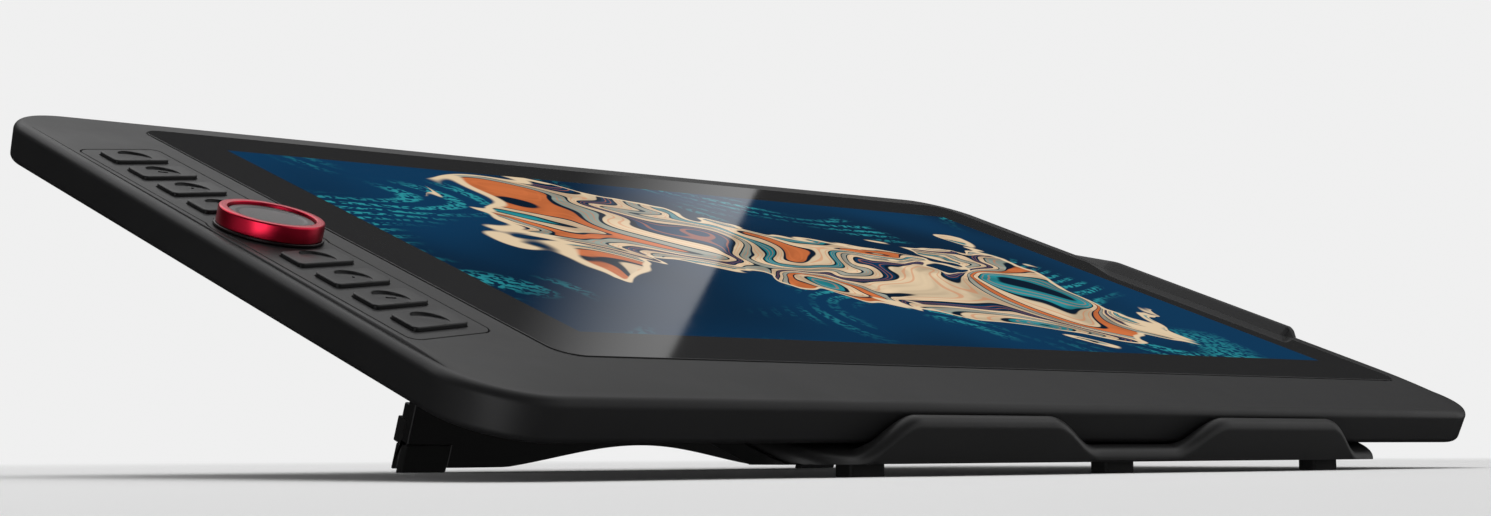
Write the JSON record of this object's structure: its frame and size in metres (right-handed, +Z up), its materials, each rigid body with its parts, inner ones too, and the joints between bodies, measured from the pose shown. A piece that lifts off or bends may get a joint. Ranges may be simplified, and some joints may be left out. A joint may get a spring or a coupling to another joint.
{
  "type": "pen display with stand",
  "caption": "Flat black pen display with a glass screen, slanted side keys and a red dial, lying on a tilted stand with a humped lip and a folding arched leg.",
  "frame": {"origin": "middle of the underside of the stand's middle front foot, on the desk", "axes": "+X to the port side of the tablet, +Y away from the user, +Z up from the desk"},
  "size_m": [0.4435, 0.2714, 0.1152],
  "materials": {
    "case_plastic": "satin, finely grained",
    "cover_plastic": "satin, finely grained",
    "key_plastic": "satin",
    "panel_plastic": "satin",
    "screen_glass": "clear, lightly etched",
    "picture_glass": "picture panel",
    "light_plastic": "white, diffusing",
    "tape": "black foam tape",
    "sheet_plastic": "amber film",
    "plate_metal": "plain sheet",
    "board": "green board",
    "ribbon": "amber film",
    "switch_plastic": "grey",
    "socket_metal": "bright",
    "screw_metal": "plain",
    "dial_red": "anodised crimson, polished",
    "dial_grey": "satin",
    "dial_black": "glossy",
    "foot_rubber": "matt",
    "stand_plastic": "satin, finely grained"
  },
  "bodies": {
    "deck": {"stand_top_shell": "stand_plastic", "stand_bottom_shell": "stand_plastic", "deck_pads": "foot_rubber", "front_feet": "foot_rubber", "hinge_pins": "screw_metal", "stand_screws": "screw_metal"},
    "leg": {"leg_panel": "stand_plastic", "leg_feet": "foot_rubber", "leg_bumpers": "foot_rubber"},
    "tablet": {"top_case": "case_plastic", "rear_cover": "cover_plastic", "cover_glass": "screen_glass", "glass_adhesive": "tape", "lcd_panel": "picture_glass", "backlight": "light_plastic", "digitizer_sheet": "sheet_plastic", "shield_plate": "plate_metal", "main_board": "board", "board_standoffs": "socket_metal", "display_ribbon": "ribbon", "key_panel": "panel_plastic", "key_board": "board", "key_switches": "switch_plastic", "key_ribbon": "ribbon", "port_board": "board", "usb_sockets": "socket_metal", "port_ribbon": "ribbon", "port_ridge": "case_plastic", "case_screws": "screw_metal", "shield_screws": "screw_metal", "board_screws": "screw_metal", "tablet_feet": "foot_rubber", "dial_encoder": "switch_plastic"},
    "dial": {"dial_hub": "dial_black", "dial_ring": "dial_red", "dial_cap": "dial_grey"},
    "power_button": {"power_button": "case_plastic"},
    "key_1": {"key_1": "key_plastic"},
    "key_2": {"key_2": "key_plastic"},
    "key_3": {"key_3": "key_plastic"},
    "key_4": {"key_4": "key_plastic"},
    "key_5": {"key_5": "key_plastic"},
    "key_6": {"key_6": "key_plastic"},
    "key_7": {"key_7": "key_plastic"},
    "key_8": {"key_8": "key_plastic"}
  },
  "joints": [
    {"name": "leg_fold", "type": "hinge", "parent": "deck", "child": "leg", "pos_m": [0, 0.19741, 0.07398], "axis": [-1, 0, 0], "range_deg": [0, 90]},
    {"name": "tablet_lift", "type": "slide", "parent": "deck", "child": "tablet", "axis": [0, 0.4723, 0.8814], "range_m": [0, 0.0484]},
    {"name": "dial_spin", "type": "hinge", "parent": "tablet", "child": "dial", "pos_m": [-0.2174, 0.12224, 0.06811], "axis": [0, -0.342, 0.9397], "continuous": true},
    {"name": "power_press", "type": "slide", "parent": "tablet", "child": "power_button", "axis": [0, -0.9397, -0.342], "range_m": [0, 0.0005], "stiffness_N_per_m": 1500},
    {"name": "key_1_press", "type": "slide", "parent": "tablet", "child": "key_1", "axis": [0, 0.342, -0.9397], "range_m": [0, 0.0007], "stiffness_N_per_m": 1200},
    {"name": "key_2_press", "type": "slide", "parent": "tablet", "child": "key_2", "axis": [0, 0.342, -0.9397], "range_m": [0, 0.0007], "stiffness_N_per_m": 1200},
    {"name": "key_3_press", "type": "slide", "parent": "tablet", "child": "key_3", "axis": [0, 0.342, -0.9397], "range_m": [0, 0.0007], "stiffness_N_per_m": 1200},
    {"name": "key_4_press", "type": "slide", "parent": "tablet", "child": "key_4", "axis": [0, 0.342, -0.9397], "range_m": [0, 0.0007], "stiffness_N_per_m": 1200},
    {"name": "key_5_press", "type": "slide", "parent": "tablet", "child": "key_5", "axis": [0, 0.342, -0.9397], "range_m": [0, 0.0007], "stiffness_N_per_m": 1200},
    {"name": "key_6_press", "type": "slide", "parent": "tablet", "child": "key_6", "axis": [0, 0.342, -0.9397], "range_m": [0, 0.0007], "stiffness_N_per_m": 1200},
    {"name": "key_7_press", "type": "slide", "parent": "tablet", "child": "key_7", "axis": [0, 0.342, -0.9397], "range_m": [0, 0.0007], "stiffness_N_per_m": 1200},
    {"name": "key_8_press", "type": "slide", "parent": "tablet", "child": "key_8", "axis": [0, 0.342, -0.9397], "range_m": [0, 0.0007], "stiffness_N_per_m": 1200}
  ]
}
